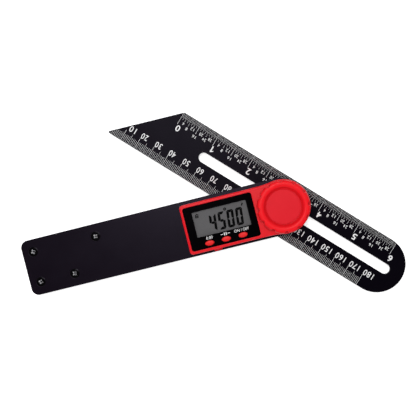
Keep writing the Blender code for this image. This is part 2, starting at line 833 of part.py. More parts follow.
def lock_knob(carrier):
    """Notched knob with a sunk face, its brass nut and the disc that covers the nut."""
    profile = (
        [(0, cap_seat), (recess_foot, cap_seat), (recess_foot, recess_floor),
         (recess_foot + recess_ease, recess_floor + recess_ease),
         (recess_top - recess_ease, knob_top - 2 * recess_ease),
         (recess_top, knob_top - recess_ease), (lip_inner, knob_top)]
        + arc(knob_radius - knob_shoulder, knob_top - knob_shoulder, knob_shoulder, square, 0)
        + [(knob_radius, knob_bottom + knob_foot_round),
           (knob_radius - knob_foot_round, knob_bottom), (0, knob_bottom)]
    )
    knob = piece("lock_knob", turned("lock_knob", profile, steps=fine_steps), red_plastic,
                 carrier=carrier)
    notch_ring = arc(0, 0, knob_radius + notch_round - notch_depth, notch_turn,
                     notch_turn + full_turn, notch_count)[:-1]
    cut(knob, pins("grip_notches", notch_ring, notch_round, knob_bottom - cut_overrun,
                   knob_top + cut_overrun))
    cut(knob, pins("nut_hole", [(0, 0)], insert_radius + slip_gap, knob_bottom - cut_overrun,
                   knob_top + cut_overrun, insert_sides))
    nut = piece("knob_nut", pins("knob_nut", [(0, 0)], insert_radius, insert_bottom,
                                 insert_top, insert_sides), yellow_brass, carrier=carrier)
    cut(nut, pins("nut_bore", [(0, 0)], stud_bore, insert_bottom - cut_overrun,
                  insert_top + cut_overrun, round_steps))
    piece("knob_cap", pins("knob_cap", [(0, 0)], recess_foot - cap_side_gap, cap_bottom,
                           recess_floor, fine_steps), red_plastic, carrier=carrier)


handle = joint_axis("handle_axis")
turning = joint_axis("blade_turn_axis", carrier=handle)
knob_turn = joint_axis("knob_turn_axis", carrier=handle)
back_plate()
front_plate()
end_spacer()
handle_screws()
blade(turning)
pivot_pieces(handle, turning)
display_housing()
display()
circuit_board()
buttons()
battery_tray()
lock_knob(knob_turn)
bpy.context.view_layer.update()
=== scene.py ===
import math

import bmesh
import bpy
from mathutils import Matrix, Vector


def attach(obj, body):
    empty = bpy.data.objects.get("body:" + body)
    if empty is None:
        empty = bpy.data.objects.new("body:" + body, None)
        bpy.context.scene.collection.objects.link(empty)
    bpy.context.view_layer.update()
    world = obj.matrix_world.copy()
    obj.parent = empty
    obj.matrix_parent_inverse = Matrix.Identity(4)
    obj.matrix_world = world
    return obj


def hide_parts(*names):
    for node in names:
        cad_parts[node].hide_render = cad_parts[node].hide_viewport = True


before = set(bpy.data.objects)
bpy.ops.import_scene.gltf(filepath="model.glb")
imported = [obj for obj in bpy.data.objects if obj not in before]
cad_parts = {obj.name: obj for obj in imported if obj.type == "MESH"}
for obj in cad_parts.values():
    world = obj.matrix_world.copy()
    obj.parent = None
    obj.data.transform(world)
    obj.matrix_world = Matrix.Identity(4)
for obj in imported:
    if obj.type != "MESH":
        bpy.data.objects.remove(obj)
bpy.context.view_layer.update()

mm = 0.001

# Table, camera and lamps
# The tool lies flat on a wide sheet of white board and is seen from nearly straight above. The
# board is clear from below, so that the tool's back can be seen too. One broad lamp stands
# behind the top of the picture, a weaker one fills in from below it.
bpy.context.scene.view_settings.view_transform = "Standard"
camera = bpy.data.objects.new("camera", bpy.data.cameras.new("camera"))
bpy.context.scene.collection.objects.link(camera)
bpy.context.scene.camera = camera
picture_side = 420
focal_length_in_pixels = 709.7
camera.data.sensor_width = 36
camera.data.lens = camera.data.sensor_width * focal_length_in_pixels / picture_side
camera.data.clip_start = 10 * mm
camera_place = (-20.33 * mm, 21.34 * mm, 441.64 * mm)
camera_turn = [math.radians(angle) for angle in (-1.716, 3.051, -14.081)]
camera.location = camera_place
camera.rotation_mode = "ZXY"
camera.rotation_euler = camera_turn


def link(tree, source, target):
    """Join two node sockets, each given as (node, socket name or number)."""
    tree.links.new(source[0].outputs[source[1]], target[0].inputs[target[1]])


def node(tree, kind, **settings):
    """A new node with its settings, and with its unlinked inputs given by name or number."""
    made = tree.nodes.new(kind)
    for name, value in settings.pop("inputs", {}).items():
        made.inputs[name].default_value = value
    for name, value in settings.items():
        setattr(made, name, value)
    return made


def seen_directly(tree):
    """1 where a camera, glossy or transmitted ray meets the surface, else 0."""
    rays = node(tree, "ShaderNodeLightPath")
    either = node(tree, "ShaderNodeMath", operation="MAXIMUM")
    any_ray = node(tree, "ShaderNodeMath", operation="MAXIMUM")
    link(tree, (rays, "Is Camera Ray"), (either, 0))
    link(tree, (rays, "Is Glossy Ray"), (either, 1))
    link(tree, (either, 0), (any_ray, 0))
    link(tree, (rays, "Is Transmission Ray"), (any_ray, 1))
    return any_ray


room = bpy.data.worlds.new("studio")
room.use_nodes = True
bpy.context.scene.world = room
# The room is white where it is looked at. What the tool mirrors is white to the side and dark
# overhead: it darkens from wall_top to ceiling_edge, which are heights of the direction from
# 0 to 1. Everything else gets a plain even light.
room_light = 0.56
ceiling_light = 0.08
wall_top = 0.7
ceiling_edge = 0.93
tree = room.node_tree
direction = node(tree, "ShaderNodeTexCoord")
upwards = node(tree, "ShaderNodeSeparateXYZ")
ceiling = node(tree, "ShaderNodeMapRange", inputs={
    "From Min": wall_top, "From Max": ceiling_edge, "To Min": 1.0, "To Max": ceiling_light})
strength = node(tree, "ShaderNodeMix", inputs={2: room_light})
link(tree, (direction, "Generated"), (upwards, 0))
link(tree, (upwards, "Z"), (ceiling, "Value"))
link(tree, (seen_directly(tree), 0), (strength, 0))
link(tree, (ceiling, 0), (strength, 3))
rays = node(tree, "ShaderNodeLightPath")
backdrop = node(tree, "ShaderNodeMix", inputs={3: 1.0})
link(tree, (rays, "Is Camera Ray"), (backdrop, 0))
link(tree, (strength, 0), (backdrop, 2))
link(tree, (backdrop, 0), (tree.nodes["Background"], "Strength"))
tree.nodes["Background"].inputs["Color"].default_value = (1, 1, 1, 1)

board_colour = (0.86, 0.86, 0.86, 1)
board_glow = 0.62
board = bpy.data.materials.new("white_board")
board.use_nodes = True
tree = board.node_tree
sheet = tree.nodes["Principled BSDF"]
sheet.inputs["Base Color"].default_value = board_colour
sheet.inputs["Roughness"].default_value = 0.9
sheet.inputs["Specular IOR Level"].default_value = 0.1
sheet.inputs["Emission Color"].default_value = (1, 1, 1, 1)
glow = node(tree, "ShaderNodeMath", operation="MULTIPLY", inputs={1: board_glow})
link(tree, (seen_directly(tree), 0), (glow, 0))
link(tree, (glow, 0), (sheet, "Emission Strength"))
board_side = node(tree, "ShaderNodeNewGeometry")
clear_below = node(tree, "ShaderNodeMixShader")
link(tree, (board_side, "Backfacing"), (clear_below, 0))
link(tree, (sheet, 0), (clear_below, 1))
link(tree, (node(tree, "ShaderNodeBsdfTransparent"), 0), (clear_below, 2))
link(tree, (clear_below, 0), (tree.nodes["Material Output"], "Surface"))
board_gap = 0.02 * mm
board_half = 6
shape = bmesh.new()
bmesh.ops.create_grid(shape, x_segments=1, y_segments=1, size=board_half,
                      matrix=Matrix.Translation((0, 0, -board_gap)))
table_mesh = bpy.data.meshes.new("table")
shape.to_mesh(table_mesh)
shape.free()
table_mesh.materials.append(board)
table = bpy.data.objects.new("table", table_mesh)
bpy.context.scene.collection.objects.link(table)


def lamp(name, place, target, side, power):
    """A square soft lamp that shines from a place at a target, in metres and watts."""
    light = bpy.data.lights.new(name, "AREA")
    light.size = side
    light.energy = power
    holder = bpy.data.objects.new(name, light)
    bpy.context.scene.collection.objects.link(holder)
    holder.location = place
    aim = Vector(target) - Vector(place)
    holder.rotation_euler = aim.to_track_quat("-Z", "Y").to_euler()


lamp("top_lamp", (-0.06, 0.2, 0.78), (-0.03, 0, 0), 0.3, 3.3)
lamp("fill_lamp", (-0.3, -0.7, 0.5), (0, 0, 0), 0.7, 0.6)

# Back plate
# The back is a flat bar of aluminium with one end milled to a half round and the other to two
# small rounds, bead-blasted and black anodised. Blind pockets inside hold stud and washer.
plate_half = 17.35 * mm
plate_nose = -1.2 * mm
plate_far = -163.4 * mm
plate_corner = 4.6 * mm
plate_round = 0.12 * mm
back_plate_top = 2.4 * mm
screw_places = ((-156.5, 9.6), (-116.2, 9.6), (-156.5, -9.6), (-134.6, -9.6))
stud_pocket_radius = 5.3 * mm
stud_pocket_floor = 1.2 * mm
washer_pocket_inner = 6.0 * mm
washer_pocket_outer = 10.2 * mm
washer_pocket_floor = 1.6 * mm
screw_hole_radius = 1.45 * mm
screw_hole_mouth = 1.85 * mm

# Nearly all of a noise texture lies in this band.
noise_low = 0.3
noise_high = 0.7


def finish(name, dark, light, roughness, patch, grain, depth, metallic=0.0, specular=0.5,
           tint=(1, 1, 1), stretch=(1, 1, 1)):
    """A finish that wanders between two colours and two roughnesses over patches of a size,
    with a fine grain of its own size and depth."""
    material = bpy.data.materials.new(name)
    material.use_nodes = True
    tree = material.node_tree
    shader = tree.nodes["Principled BSDF"]
    shader.inputs["Metallic"].default_value = metallic
    shader.inputs["Specular IOR Level"].default_value = specular
    shader.inputs["Specular Tint"].default_value = (*tint, 1)
    place = node(tree, "ShaderNodeTexCoord")
    along = node(tree, "ShaderNodeMapping", inputs={"Scale": stretch})
    patches = node(tree, "ShaderNodeTexNoise", inputs={"Scale": 1 / patch, "Detail": 4.0})
    colour = node(tree, "ShaderNodeMix", data_type="RGBA",
                  inputs={6: (*dark, 1), 7: (*light, 1)})
    sheen = node(tree, "ShaderNodeMapRange", inputs={
        "From Min": noise_low, "From Max": noise_high,
        "To Min": roughness[0], "To Max": roughness[1]})
    tooth = node(tree, "ShaderNodeTexNoise", inputs={"Scale": 1 / grain, "Detail": 3.0})
    relief = node(tree, "ShaderNodeBump", inputs={"Strength": 1.0, "Distance": depth})
    link(tree, (place, "Object"), (along, 0))
    link(tree, (along, 0), (patches, "Vector"))
    link(tree, (along, 0), (tooth, "Vector"))
    link(tree, (patches, 0), (colour, 0))
    link(tree, (colour, 2), (shader, "Base Color"))
    link(tree, (patches, 0), (sheen, "Value"))
    link(tree, (sheen, 0), (shader, "Roughness"))
    link(tree, (tooth, 0), (relief, "Height"))
    link(tree, (relief, 0), (shader, "Normal"))
    return material


weld = 0.002 * mm
arc_step = 2.5
fewest_steps = 4


def trace(start, *strokes):
    """An outline drawn with a moving point, filled as one face. A stroke is a point to go to,
    or (centre x, centre y, degrees) to swing round, with as many steps as the arc needs."""
    shape = bmesh.new()
    tip = shape.verts.new((*start, 0))
    for stroke in strokes:
        if len(stroke) == 2:
            ends = bmesh.ops.extrude_vert_indiv(shape, verts=[tip])["verts"]
            ends[0].co = (*stroke, 0)
        else:
            x, y, degrees = stroke
            swung = bmesh.ops.spin(
                shape, geom=[tip], cent=(x, y, 0), axis=(0, 0, 1), angle=math.radians(degrees),
                steps=max(fewest_steps, round(abs(degrees) / arc_step)))
            ends = [part for part in swung["geom_last"] if isinstance(part, bmesh.types.BMVert)]
        tip = ends[0]
    bmesh.ops.remove_doubles(shape, verts=shape.verts, dist=weld)
    bmesh.ops.contextual_create(shape, geom=shape.edges)
    return shape


def thicken(shape, bottom, top):
    """Raise a flat face into a slab between two heights."""
    bmesh.ops.translate(shape, verts=shape.verts, vec=(0, 0, bottom))
    raised = bmesh.ops.extrude_face_region(shape, geom=shape.faces[:])["geom"]
    points = [part for part in raised if isinstance(part, bmesh.types.BMVert)]
    bmesh.ops.translate(shape, verts=points, vec=(0, 0, top - bottom))
    bmesh.ops.recalc_face_normals(shape, faces=shape.faces)
    return shape


def ease(shape, width, segments=2, sharp=30, where=lambda edge: True):
    """Round the sharp edges of a shape, or only those that a test picks out."""
    edges = [edge for edge in shape.edges
             if edge.is_manifold and edge.calc_face_angle(0) > math.radians(sharp) and where(edge)]
    bmesh.ops.bevel(shape, geom=edges, offset=width, segments=segments, profile=0.5,
                    affect="EDGES", material=-1, clamp_overlap=True)
    return shape


def carve(shape, cutter, operation="DIFFERENCE"):
    """Cut a shape with another, or join them, and give back the result."""
    holders = []
    for solid in (shape, cutter):
        bmesh.ops.recalc_face_normals(solid, faces=solid.faces)
        mesh = bpy.data.meshes.new("stock")
        solid.to_mesh(mesh)
        solid.free()
        holder = bpy.data.objects.new("stock", mesh)
        bpy.context.scene.collection.objects.link(holder)
        holders.append(holder)
    step = holders[0].modifiers.new("cut", "BOOLEAN")
    step.operation = operation
    step.object = holders[1]
    ready = holders[0].evaluated_get(bpy.context.evaluated_depsgraph_get())
    result = bmesh.new()
    result.from_mesh(ready.to_mesh())
    for holder in holders:
        mesh = holder.data
        bpy.data.objects.remove(holder)
        bpy.data.meshes.remove(mesh)
    bmesh.ops.remove_doubles(result, verts=result.verts, dist=weld)
    bmesh.ops.dissolve_degenerate(result, edges=result.edges, dist=weld)
    return result


def turned(profile, steps=96, place=(0, 0)):
    """A closed or open profile of (radius, height), spun right round."""
    shape = bmesh.new()
    points = [shape.verts.new((radius, 0, height)) for radius, height in profile]
    lines = [shape.edges.new(pair) for pair in zip(points, points[1:])]
    bmesh.ops.spin(shape, geom=points + lines, cent=(0, 0, 0), axis=(0, 0, 1),
                   angle=2 * math.pi, steps=steps, use_merge=True)
    bmesh.ops.remove_doubles(shape, verts=shape.verts, dist=weld)
    bmesh.ops.recalc_face_normals(shape, faces=shape.faces)
    bmesh.ops.translate(shape, verts=shape.verts, vec=(*place, 0))
    return shape


def pin(radius, bottom, top, place=(0, 0), steps=64):
    """A plain round bar."""
    return turned([(0, top), (radius, top), (radius, bottom), (0, bottom)], steps, place)


def joined(shapes):
    """Several separate shapes as one."""
    whole = shapes[0]
    for other in shapes[1:]:
        loose = bpy.data.meshes.new("loose")
        other.to_mesh(loose)
        other.free()
        whole.from_mesh(loose)
        bpy.data.meshes.remove(loose)
    return whole


def piece(name, shape, material, body, stands_for=(), crease=35):
    """Put a finished shape in the scene as a named piece that moves with a body."""
    bmesh.ops.remove_doubles(shape, verts=shape.verts, dist=weld)
    bmesh.ops.recalc_face_normals(shape, faces=shape.faces)
    mesh = bpy.data.meshes.new(name)
    shape.to_mesh(mesh)
    shape.free()
    mesh.materials.append(material)
    mesh.shade_smooth()
    mesh.set_sharp_from_angle(angle=math.radians(crease))
    item = bpy.data.objects.new(name, mesh)
    bpy.context.scene.collection.objects.link(item)
    flats = item.modifiers.new("true_flats", "WEIGHTED_NORMAL")
    flats.keep_sharp = True
    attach(item, body)
    if stands_for:
        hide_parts(*stands_for)
    return item


def refinish(material, *nodes):
    """Give CAD nodes whose shape is right a better finish."""
    for name in nodes:
        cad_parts[name].data.materials.clear()
        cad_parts[name].data.materials.append(material)


def plate(bottom, top):
    """The outline that both plates share, with its edges just broken."""
    far = plate_far + plate_corner
    side = plate_half - plate_corner
    bar = thicken(trace(
        (plate_nose, -plate_half), (plate_nose, 0, 180), (far, plate_half), (far, side, 90),
        (plate_far, -side), (far, -side, 90)), bottom, top)
    return ease(bar, plate_round, 3, 60)


anodised = finish("anodised_black", (0.0022, 0.0006, 0.0028), (0.0034, 0.0016, 0.0042),
                  (0.32, 0.36), 14 * mm, 0.22 * mm, 0.004 * mm, specular=0.12,
                  tint=(0.82, 0.74, 1.0))
back = plate(0, back_plate_top)
above = 3 * mm
below = -0.2 * mm
back = carve(back, pin(stud_pocket_radius, stud_pocket_floor, above))
back = carve(back, turned([
    (washer_pocket_inner, washer_pocket_floor), (washer_pocket_outer, washer_pocket_floor),
    (washer_pocket_outer, above), (washer_pocket_inner, above),
    (washer_pocket_inner, washer_pocket_floor)]))
for x, y in screw_places:
    back = carve(back, turned([
        (0, above), (screw_hole_radius, above), (screw_hole_radius, -below),
        (screw_hole_mouth, below), (0, below)], 48, (x * mm, y * mm)))
piece("back_plate_milled", back, anodised, "handle", ["back_plate"])

# End spacer
# A block of the same bar keeps the plates apart at the far end by a little more than the
# blade's thickness. Its slanted inner side is where the folded blade's mitre comes to rest.
refinish(anodised, "end_spacer")

# Pivot pieces
# A plain steel stud stands in the back plate and carries a brass guide block, whose tongue
# runs in the blade's slot, with nylon washers, an open coil spring and a clamping sleeve.
plated_steel = finish("plated_steel", (0.5, 0.5, 0.52), (0.62, 0.62, 0.64), (0.2, 0.34),
                      3 * mm, 0.08 * mm, 0.002 * mm, metallic=1.0)
turned_brass = finish("turned_brass", (0.52, 0.35, 0.12), (0.68, 0.48, 0.18), (0.22, 0.36),
                      3 * mm, 0.1 * mm, 0.003 * mm, metallic=1.0)
natural_nylon = finish("natural_nylon", (0.68, 0.66, 0.6), (0.76, 0.74, 0.69), (0.45, 0.58),
                       4 * mm, 0.2 * mm, 0.004 * mm)
refinish(plated_steel, "pivot_stud", "return_spring", "clamp_sleeve")
refinish(turned_brass, "guide_block")
refinish(natural_nylon, "back_washer", "thrust_washer")

# Blade
# The rule is aluminium strip with one end cut to 45 degrees and the other milled to a half
# round, slotted along its middle, then blasted, anodised a deep black and printed.
blade_length = 201.5 * mm
blade_width = 35.0 * mm
blade_bottom = 2.8 * mm
blade_top = 4.8 * mm
slot_from = 56.4 * mm
slot_to = 193.0 * mm
slot_half = 3.1 * mm
pivot_along = 116.1 * mm
blade_angle = math.radians(-45.6)
blade_place = Matrix.Rotation(blade_angle, 4, "Z") @ Matrix.Translation(
    (-pivot_along, -blade_width / 2, 0))
rule_black = finish("rule_black", (0.0011, 0.0005, 0.0021), (0.0019, 0.0012, 0.0031),
                    (0.34, 0.38), 18 * mm, 0.16 * mm, 0.004 * mm, specular=0.04,
                    tint=(0.86, 0.78, 1.0))
middle = blade_width / 2
tip_foot = 1.2 * mm
tip_bevel = 0.87 * mm
blade_round = 0.15 * mm
above = 6 * mm
below = 2 * mm
rule = thicken(trace(
    (tip_foot, 0), (blade_length - middle, 0), (blade_length - middle, middle, 180),
    (blade_width, blade_width), (tip_bevel, tip_bevel)), blade_bottom, blade_top)
rule = carve(rule, thicken(trace(
    (slot_from + slot_half, middle - slot_half), (slot_to - slot_half, middle - slot_half),
    (slot_to - slot_half, middle, 180), (slot_from + slot_half, middle + slot_half),
    (slot_from + slot_half, middle, 180)), below, above))
ease(rule, blade_round, 2, 50)
rule.transform(blade_place)
piece("blade_slotted", rule, rule_black, "blade", ["blade"])

# Graduations
# White epoxy ink, screen-printed through a stencil and baked: a millimetre scale along one
# edge and inches in 32nds along the other, each line a little longer at the round numbers.
ink_height = 0.015 * mm
ink_margin = 0.2 * mm
ink = finish("white_ink", (0.74, 0.74, 0.75), (0.86, 0.86, 0.86), (0.45, 0.6), 1.5 * mm,
             0.08 * mm, 0.002 * mm, specular=0.3)
lines = bmesh.new()


def rule_line(along, low, high, width):
    """One printed line across the blade, from one distance off its millimetre edge to another."""
    size = Matrix.Diagonal((width, high - low, ink_height, 1))
    place = Matrix.Translation((along, (low + high) / 2, blade_top + ink_height / 2))
    bmesh.ops.create_cube(lines, size=1, matrix=blade_place @ place @ size)


def reach(count, lengths):
    """The length of a line: that of the first step in the list that divides its count."""
    return next(length for step, length in lengths if count % step == 0) * mm


bold_line = 0.17 * mm
millimetre_line = 0.125 * mm
millimetre_lengths = ((10, 7.5), (5, 6.5), (1, 4.9))
mitre_margin = 0.6 * mm
for count in range(1, 181):
    long = min(reach(count, millimetre_lengths), count * mm - mitre_margin)
    wide = bold_line if count % 10 == 0 else millimetre_line
    if long > ink_margin:
        rule_line(count * mm, ink_margin, long, wide)
inch = 25.4 * mm
inch_zero = 34.95 * mm
inch_line = 0.1 * mm
inch_lengths = ((32, 8.4), (16, 7.7), (8, 6.1), (4, 4.9), (2, 4.7), (1, 3.3))
for count in range(6 * 32 + 1):
    wide = bold_line if count % 16 == 0 else inch_line
    rule_line(inch_zero + count / 32 * inch, blade_width - reach(count, inch_lengths),
              blade_width - ink_margin, wide)
piece("blade_graduations", lines, ink, "blade")

# Numbers on the blade
# Printed with the lines in the same ink. They read from the round end's side, so on the
# blade as it lies here they stand on their heads.
label_upside_down = Matrix.Rotation(math.pi, 4, "Z")


def lettering(text, height, width, bold=0.0, spacing=1.0):
    """A line of text as a thin slab of ink, centred, of this height and width over its ink."""
    words = bpy.data.curves.new("words", "FONT")
    words.body = text
    words.size = 1
    words.resolution_u = 6
    words.offset = bold
    words.space_character = spacing
    words.extrude = 0.5
    holder = bpy.data.objects.new("words", words)
    bpy.context.scene.collection.objects.link(holder)
    ready = holder.evaluated_get(bpy.context.evaluated_depsgraph_get())
    shape = bmesh.new()
    shape.from_mesh(ready.to_mesh())
    bpy.data.objects.remove(holder)
    bpy.data.curves.remove(words)
    lows = [min(point.co[axis] for point in shape.verts) for axis in range(2)]
    highs = [max(point.co[axis] for point in shape.verts) for axis in range(2)]
    centre = Vector(((lows[0] + highs[0]) / 2, (lows[1] + highs[1]) / 2, 0))
    size = Matrix.Diagonal((width / (highs[0] - lows[0]), height / (highs[1] - lows[1]),
                            ink_height, 1))
    shape.transform(size @ Matrix.Translation(-centre))
    bmesh.ops.remove_doubles(shape, verts=shape.verts, dist=weld)
    return shape


def number(value, along, across, height, width, bold):
    """A number printed on the blade, centred on a place."""
    if value == 1:
        # A one with a longer flag than the font's, in a box of 1 x 1 x 1 about its middle.
        shape = thicken(trace(
            (0.1, -0.5), (0.5, -0.5), (0.5, 0.5), (0.18, 0.5), (-0.5, 0.27), (-0.5, 0.1),
            (0.1, 0.27)), -0.5, 0.5)
        shape.transform(Matrix.Diagonal((width, height, ink_height, 1)))
    else:
        shape = lettering(str(value), height, width, bold, 1.13)
    place = Matrix.Translation((along, across, blade_top + ink_height / 2))
    shape.transform(blade_place @ place @ label_upside_down)
    return shape


labels = []
millimetre_row = 9.34 * mm
millimetre_height = 3.7 * mm
two_figures = 4.3 * mm
three_figures = 6.6 * mm
millimetre_shift = -0.25 * mm
first_shift = 1.2 * mm
for tens in range(1, 19):
    wide = two_figures if tens < 10 else three_figures
    shift = first_shift if tens == 1 else millimetre_shift
    labels.append(number(10 * tens, 10 * tens * mm + shift + wide / 2, millimetre_row,
                         millimetre_height, wide, 0.005))
inch_row = 24.55 * mm
inch_height = 3.9 * mm
inch_shift = 0.3 * mm
drawn_one = 1.9 * mm
inch_figure = 2.65 * mm
for count in range(7):
    wide = drawn_one if count == 1 else inch_figure
    labels.append(number(count, inch_zero + count * inch + inch_shift + wide / 2, inch_row,
                         inch_height, wide, 0.015))
half_row = 25.35 * mm
quarter_row = 27.0 * mm
eighth_row = 28.75 * mm
part_height = 1.85 * mm
one_small_figure = 1.1 * mm
two_small_figures = 2.35 * mm
for count in range(4, 6 * 32, 4):
    part = count % 32
    if part:
        row = half_row if part == 16 else quarter_row if part % 8 == 0 else eighth_row
        wide = one_small_figure if part < 10 else two_small_figures
        labels.append(number(part, inch_zero + count / 32 * inch, row, part_height, wide, 0.0))
piece("blade_numbers", joined(labels), ink, "blade")

# Front plate
# The same bar as the back plate, with a stepped hole for the guide block's flange under the
# display and four countersunk holes for the screws.
front_bottom = 5.2 * mm
front_top = 7.6 * mm
pivot_bore = 5.5 * mm
flange_bore = 9.1 * mm
flange_step = 6.5 * mm
sink_mouth = 3.15 * mm
sink_radius = 3.05 * mm
sink_depth = 0.5 * mm
above = 9 * mm
below = 5 * mm
front = plate(front_bottom, front_top)
front = carve(front, turned([
    (0, above), (pivot_bore, above), (pivot_bore, flange_step), (flange_bore, flange_step),
    (flange_bore, below), (0, below)]))
cone_top = front_top - sink_depth
for x, y in screw_places:
    front = carve(front, turned([
        (0, front_top + 0.2 * mm), (sink_mouth, front_top + 0.2 * mm), (sink_mouth, front_top),
        (sink_radius, front_top - 0.1 * mm), (sink_radius, cone_top),
        (screw_hole_radius, cone_top - sink_radius + screw_hole_radius),
        (screw_hole_radius, below), (0, below)], 64, (x * mm, y * mm)))


def at_screw_hole(edge):
    """Whether an edge lies on the plate's face at the mouth of a screw's hole."""
    return all(
        abs(end.co.z - front_top) < weld and min(
            math.hypot(end.co.x - x * mm, end.co.y - y * mm)
            for x, y in screw_places) < sink_mouth + 0.15 * mm
        for end in edge.verts)


ease(front, 0.1 * mm, 2, 40, at_screw_hole)
piece("front_plate_milled", front, anodised, "handle", ["front_plate"])

# Handle screws
# Four flat-headed machine screws, cold-headed in steel and blackened, with a cross recess
# whose steep upper walls are bright bare steel: partly where the driver has rubbed the black
# away, partly a painted glint. They pass through plate and spacer and screw into the back plate.
black_oxide = finish("black_oxide", (0.0006, 0.0005, 0.0007), (0.001, 0.0009, 0.0011),
                     (0.1, 0.15), 1.2 * mm, 0.1 * mm, 0.001 * mm, specular=0.25,
                     tint=(0.9, 0.85, 1.0))
rubbed_steel_and_glint = finish("rubbed_steel_and_glint", (0.55, 0.55, 0.56), (0.72, 0.72, 0.73), (0.3, 0.42),
                      0.8 * mm, 0.1 * mm, 0.002 * mm, metallic=1.0)
screw_head = 7.4 * mm
screw_tip = 0.4 * mm
head_radius = 2.95 * mm
shank_radius = 1.25 * mm
shank_top = 5.5 * mm
recess_length = 4.3 * mm
recess_width = 0.9 * mm
recess_reach = 2.45 * mm
recess_narrowing = 0.28
recess_thinning = 0.6
rubbed_and_glint_from = 6.2 * mm
nearly_level = 0.98
screw_turns = (18, 40, 62, 33)
screws = []
for (x, y), turn in zip(screw_places, screw_turns):
    screw = turned([
        (0, screw_head), (head_radius - 0.23 * mm, screw_head),
        (head_radius - 0.07 * mm, screw_head - 0.06 * mm),
        (head_radius, screw_head - 0.2 * mm), (shank_radius, shank_top),
        (shank_radius, screw_tip + 0.3 * mm), (shank_radius - 0.25 * mm, screw_tip),
        (0, screw_tip)], 48)
    bmesh.ops.dissolve_limit(screw, angle_limit=math.radians(1), verts=screw.verts,
                             edges=screw.edges)
    recess = []
    for quarter in (0, 90):
        wing = bmesh.new()
        bmesh.ops.create_cube(wing, size=1, matrix=Matrix.Translation(
            (0, 0, screw_head)) @ Matrix.Diagonal((recess_length, recess_width, 2 * mm, 1)))
        for point in wing.verts:
            if point.co.z < screw_head:
                point.co.x *= recess_narrowing
                point.co.y *= recess_thinning
        wing.transform(Matrix.Rotation(math.radians(quarter), 4, "Z"))
        recess.append(wing)
    cross = carve(recess[0], recess[1], "UNION")
    screw = carve(screw, cross)
    ease(screw, 0.18 * mm, 3, 60, lambda edge: all(
        end.co.z > screw_head - 0.1 * mm and math.hypot(end.co.x, end.co.y) < recess_reach
        for end in edge.verts))
    # The recess's steep upper walls get the bright bare steel: partly wear, partly a painted
    # glint.
    for face in screw.faces:
        spot = face.calc_center_median()
        in_recess = math.hypot(spot.x, spot.y) < recess_reach
        steep = abs(face.normal.z) < nearly_level
        face.material_index = int(in_recess and steep and spot.z > rubbed_and_glint_from)
    screw.transform(Matrix.Translation((x * mm, y * mm, 0)) @ Matrix.Rotation(
        math.radians(turn), 4, "Z"))
    screws.append(screw)
cross_head_screws = piece("cross_head_screws", joined(screws), black_oxide, "handle",
                          [f"handle_screw_{count}" for count in (1, 2, 3, 4)], 30)
cross_head_screws.data.materials.append(rubbed_steel_and_glint)

# Display housing
# Moulded in red ABS with a fine spark-eroded texture: a frame round the display that flares
# into a round hub under the knob, open underneath, with screw bosses inside.
housing_bottom = 7.9 * mm
housing_top = 17.0 * mm
shelf_bottom = 15.0 * mm
shelf_top = 15.8 * mm
frame_half = 15.2 * mm
frame_far = -60.9 * mm
frame_corner = 2.0 * mm
hub_radius = 16.4 * mm
flare_radius = 60.0 * mm
housing_wall = 1.5 * mm
window_far = -59.4 * mm
window_near = -16.8 * mm
window_low = -13.5 * mm
window_high = 13.3 * mm
window_corner = 1.5 * mm
outer_round = 0.9 * mm
window_round = 0.2 * mm
opening_corner = 0.4 * mm
boss_bore = 0.8 * mm
boss_radius = 1.7 * mm
boss_top = 15.4 * mm
housing_boss_foot = 8.1 * mm
board_boss_foot = 13.3 * mm
housing_boss_places = ((-58.2, 12.5), (-58.2, -12.5), (-15.6, 12.5), (-15.6, -12.5))
board_boss_places = ((-17.1, 5.5), (-17.1, -5.5))
key_opening_length = 6.6 * mm
key_opening_width = 4.2 * mm
stud_opening_radius = 3.8 * mm
button_places = ((-47.95, -10.6), (-37.65, -10.6), (-27.35, -10.6))
moulded_red = finish("moulded_red", (0.66, 0.002, 0.009), (0.74, 0.004, 0.013), (0.3, 0.37),
                     9 * mm, 0.17 * mm, 0.010 * mm, specular=0.15)


def housing_outline(inset=0):
    """The frame and hub in one line, or the same line moved inwards."""
    half = frame_half - inset
    hub = hub_radius - inset
    flare = flare_radius + inset
    corner = max(frame_corner - inset, 0.4 * mm)
    far = frame_far + inset + corner
    start = -math.sqrt((hub - half) * (hub + half + 2 * flare))
    meet = math.degrees(math.atan2(half + flare, start))
    angle = math.radians(meet)
    return trace(
        (hub * math.cos(angle), -hub * math.sin(angle)), (0, 0, 2 * meet),
        (start, half + flare, 90 - meet), (far, half), (far, half - corner, 90),
        (far - corner, corner - half), (far, corner - half, 90), (start, -half),
        (start, -half - flare, 90 - meet))


def rounded_panel(left, right, low, high, corner, bottom, top):
    """A rectangle with four round corners, as a slab."""
    return thicken(trace(
        (left + corner, low), (right - corner, low), (right - corner, low + corner, 90),
        (right, high - corner), (right - corner, high - corner, 90), (left + corner, high),
        (left + corner, high - corner, 90), (left, low + corner),
        (left + corner, low + corner, 90)), bottom, top)


def oval(length, width, bottom, top, place):
    """An upright oval bar."""
    shape = bmesh.new()
    bmesh.ops.create_circle(shape, cap_ends=True, segments=64, radius=0.5)
    shape.transform(Matrix.Translation((*place, 0)) @ Matrix.Diagonal((length, width, 1, 1)))
    return thicken(shape, bottom, top)


def at_housing_top(edge):
    """Whether an edge lies on the housing's top face."""
    return min(end.co.z for end in edge.verts) > housing_top - 0.1 * mm


